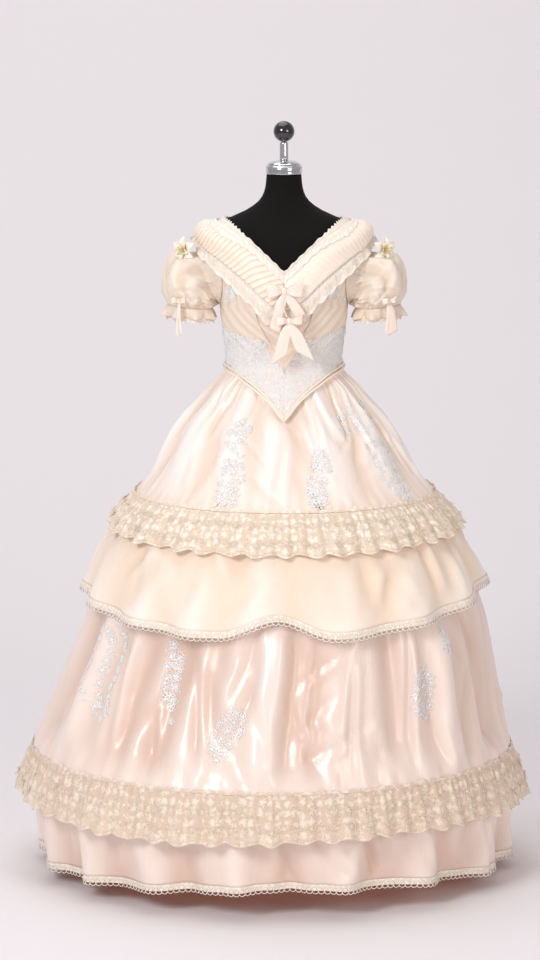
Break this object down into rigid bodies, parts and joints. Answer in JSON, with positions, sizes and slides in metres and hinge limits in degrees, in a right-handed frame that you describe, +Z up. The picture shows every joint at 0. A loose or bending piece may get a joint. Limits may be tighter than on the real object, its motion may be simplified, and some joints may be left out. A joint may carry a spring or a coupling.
{
  "type": "rococo ball gown on a dress form",
  "caption": "tiered ball gown with pleated bertha collar, puff sleeves, pointed basque and lace flounces, standing on the limbless dress form that fills it",
  "frame": {"origin": "on the floor under the dress form's pole, at the centre of the underside of its base", "axes": "X across the gown, towards the wearer's left side; Y towards the back; Z up"},
  "size_m": [1.0822, 1.0802, 1.5769],
  "materials": {
    "satin": "cream satin, glossy",
    "pink_satin": "pale pink satin, glossy",
    "chiffon": "matte cream chiffon",
    "organza": "crisp cream organza",
    "cream_lace": "cream floral lace",
    "white_lace": "white beaded lace",
    "petal": "silk flower petals",
    "jersey": "black jersey cover",
    "chrome": "polished chrome",
    "black_lacquer": "glossy black"
  },
  "bodies": {
    "root": {"bodice_back_left": "chiffon", "bodice_back_right": "chiffon", "bodice_basque_lace_left": "white_lace", "bodice_basque_lace_right": "white_lace", "bodice_bust_applique_left": "white_lace", "bodice_bust_applique_right": "white_lace", "bodice_centre_front": "chiffon", "bodice_piping_lower": "satin", "bodice_piping_upper": "satin", "bodice_side_front_left": "chiffon", "bodice_side_front_right": "chiffon", "bow_lower": "satin", "bow_upper": "satin", "collar_bertha_left": "satin", "collar_bertha_right": "satin", "collar_lace_left": "white_lace", "collar_lace_right": "white_lace", "collar_neck_lace_left": "white_lace", "collar_neck_lace_right": "white_lace", "form_ball": "black_lacquer", "form_base": "black_lacquer", "form_finial_rod": "chrome", "form_neck_cap": "chrome", "form_pole": "chrome", "form_torso": "jersey", "skirt_flounce_back": "chiffon", "skirt_flounce_edge_back": "white_lace", "skirt_flounce_edge_front": "white_lace", "skirt_flounce_front": "chiffon", "skirt_hem_edge_back": "white_lace", "skirt_hem_edge_front": "white_lace", "skirt_hem_flounce_back": "pink_satin", "skirt_hem_flounce_front": "pink_satin", "skirt_lower_lace_back": "cream_lace", "skirt_lower_lace_front": "cream_lace", "skirt_overskirt_back": "satin", "skirt_overskirt_front": "satin", "skirt_underskirt_back": "pink_satin", "skirt_underskirt_front": "pink_satin", "skirt_upper_lace_back": "cream_lace", "skirt_upper_lace_front": "cream_lace", "sleeve_bow_left": "satin", "sleeve_bow_right": "satin", "sleeve_flower_left": "petal", "sleeve_flower_right": "petal", "sleeve_frill_left": "organza", "sleeve_frill_right": "organza", "sleeve_lace_left": "white_lace", "sleeve_lace_right": "white_lace", "sleeve_puff_left": "organza", "sleeve_puff_right": "organza", "spray_overskirt_1": "white_lace", "spray_overskirt_2": "white_lace", "spray_overskirt_3": "white_lace", "spray_overskirt_4": "white_lace", "spray_overskirt_5": "white_lace", "spray_underskirt_1": "white_lace", "spray_underskirt_2": "white_lace", "spray_underskirt_3": "white_lace", "spray_underskirt_4": "white_lace"}
  },
  "joints": []
}
